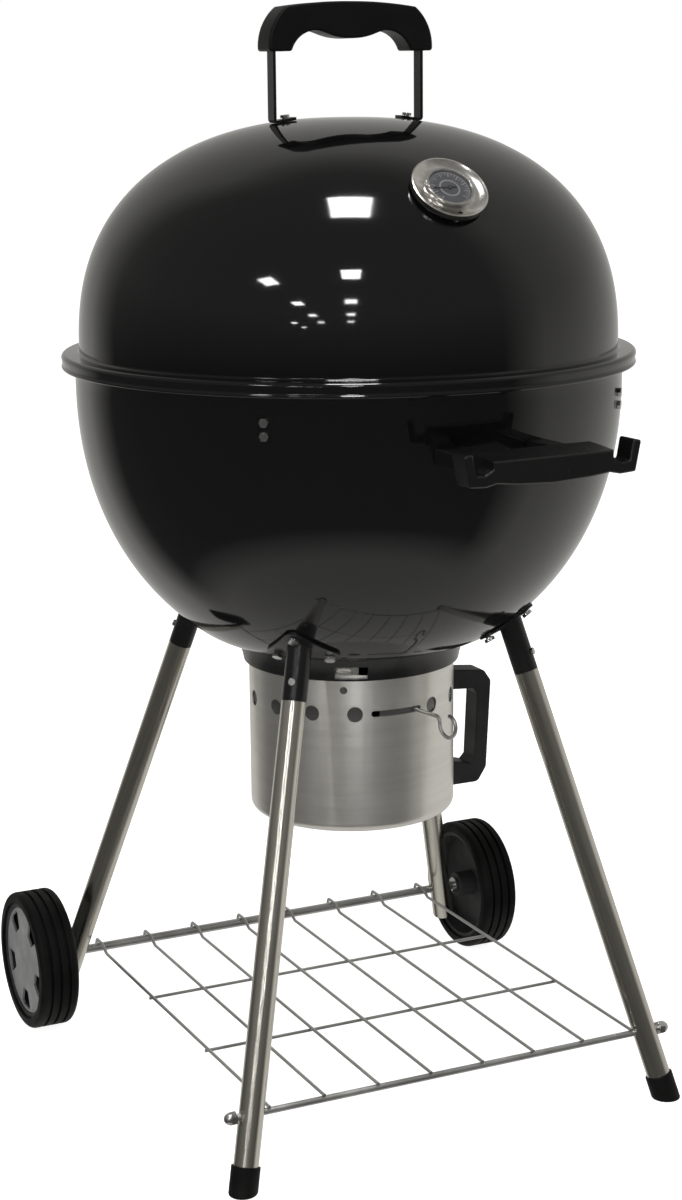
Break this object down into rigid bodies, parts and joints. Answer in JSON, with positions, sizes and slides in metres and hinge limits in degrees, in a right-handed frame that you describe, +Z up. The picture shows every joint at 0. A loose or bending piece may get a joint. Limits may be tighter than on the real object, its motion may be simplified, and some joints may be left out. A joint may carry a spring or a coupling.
{
  "type": "kettle charcoal grill",
  "caption": "Round kettle charcoal grill on splayed tube legs with wheels, domed lid, thermometer, ash bucket with a sliding vent and a wire shelf.",
  "frame": {"origin": "on the ground at the middle of the footprint; the kettle's axis stands 33.8 mm behind it", "axes": "+Z up, -Y to the front with the bowl's handle, +Y to the wheels, +X to the side of the ash bucket's handle"},
  "size_m": [0.6146, 0.7211, 1.1462],
  "materials": {
    "enamel": "gloss porcelain enamel",
    "black_gloss_plastic": "satin gloss glass-filled nylon",
    "black_plastic": "fine matt grain",
    "black_steel": "satin black paint",
    "tube_steel": "lengthwise satin brush",
    "bucket_steel": "circumferential brush",
    "bright_steel": "bright zinc plate",
    "plated_wire": "dull nickel plate",
    "tyre_rubber": "satin",
    "hub_plastic": "satin grey",
    "cap_rubber": "matt",
    "damper_alloy": "satin",
    "dial_print": "matt print",
    "needle_paint": "matt",
    "clear_glass": "polished",
    "grate_steel": "nickel-plated wire",
    "raw_steel": "heat-darkened steel wire"
  },
  "bodies": {
    "stand": {"axle_caps": "bright_steel", "axle_spacers": "bright_steel", "bowl_collar": "black_steel", "bowl_handle": "black_gloss_plastic", "bowl_shell": "enamel", "foot_cap_front_left": "cap_rubber", "foot_cap_front_right": "cap_rubber", "grate_bracket_bolts": "bright_steel", "grate_bracket_front_left": "black_steel", "grate_bracket_front_right": "black_steel", "grate_bracket_rear_left": "black_steel", "grate_bracket_rear_right": "black_steel", "handle_bolts": "bright_steel", "handle_bracket_left": "black_steel", "handle_bracket_right": "black_steel", "leg_front_left": "tube_steel", "leg_front_right": "tube_steel", "leg_rear_left": "tube_steel", "leg_rear_right": "tube_steel", "leg_socket_front_left": "black_steel", "leg_socket_front_right": "black_steel", "leg_socket_rear_left": "black_steel", "leg_socket_rear_right": "black_steel", "shelf_front_rod": "plated_wire", "shelf_grid": "plated_wire", "shelf_rod_nuts": "bright_steel", "socket_bolts": "bright_steel", "socket_lock_screws": "bright_steel", "wheel_axle": "plated_wire"},
    "lid": {"lid_shell": "enamel", "lid_grip": "black_plastic", "lid_strap_left": "black_steel", "lid_strap_right": "black_steel", "lid_strap_screws": "bright_steel", "lid_damper_rivet": "bright_steel", "thermometer_case": "bright_steel", "thermometer_dial": "dial_print", "thermometer_glass": "clear_glass", "thermometer_bezel": "bucket_steel", "thermometer_nut": "bright_steel"},
    "lid_damper": {"lid_damper": "damper_alloy"},
    "thermometer_needle": {"thermometer_needle": "needle_paint"},
    "ash_bucket": {"ash_bucket": "bucket_steel", "bucket_handle": "black_plastic", "bucket_handle_screws": "bright_steel", "bucket_clips": "bucket_steel", "bucket_clip_rivets": "bright_steel"},
    "vent_band": {"vent_band": "bucket_steel", "vent_lever": "plated_wire"},
    "wheel_left": {"tyre_left": "tyre_rubber", "hub_left": "hub_plastic", "hub_cover_left": "hub_plastic"},
    "wheel_right": {"tyre_right": "tyre_rubber", "hub_right": "hub_plastic", "hub_cover_right": "hub_plastic"},
    "cooking_grate": {"cooking_grate": "grate_steel"},
    "charcoal_grate": {"charcoal_grate": "raw_steel"}
  },
  "joints": [
    {"name": "lid_lift", "type": "slide", "parent": "stand", "child": "lid", "axis": [0, 0, 1], "range_m": [0, 0.35]},
    {"name": "damper_turn", "type": "hinge", "parent": "lid", "child": "lid_damper", "pos_m": [0, 0.1838, 1.00733], "axis": [0, 0.3742, 0.9273], "range_deg": [0, 45]},
    {"name": "needle_turn", "type": "hinge", "parent": "lid", "child": "thermometer_needle", "pos_m": [0, -0.1862, 0.96339], "axis": [0, -0.6862, 0.7274], "range_deg": [-270, 0]},
    {"name": "bucket_twist", "type": "hinge", "parent": "stand", "child": "ash_bucket", "pos_m": [0, 0.0338, 0.4], "axis": [0, 0, 1], "range_deg": [0, 8]},
    {"name": "vent_slide", "type": "hinge", "parent": "ash_bucket", "child": "vent_band", "pos_m": [0, 0.0338, 0.4244], "axis": [0, 0, 1], "range_deg": [-22, 0]},
    {"name": "wheel_left_spin", "type": "hinge", "parent": "stand", "child": "wheel_left", "pos_m": [-0.285, 0.2818, 0.0787], "axis": [1, 0, 0], "continuous": true},
    {"name": "wheel_right_spin", "type": "hinge", "parent": "stand", "child": "wheel_right", "pos_m": [0.285, 0.2818, 0.0787], "axis": [1, 0, 0], "continuous": true},
    {"name": "cooking_grate_lift", "type": "slide", "parent": "stand", "child": "cooking_grate", "axis": [0, 0, 1], "range_m": [0, 0.035]},
    {"name": "charcoal_grate_lift", "type": "slide", "parent": "stand", "child": "charcoal_grate", "axis": [0, 0, 1], "range_m": [0, 0.15]}
  ]
}
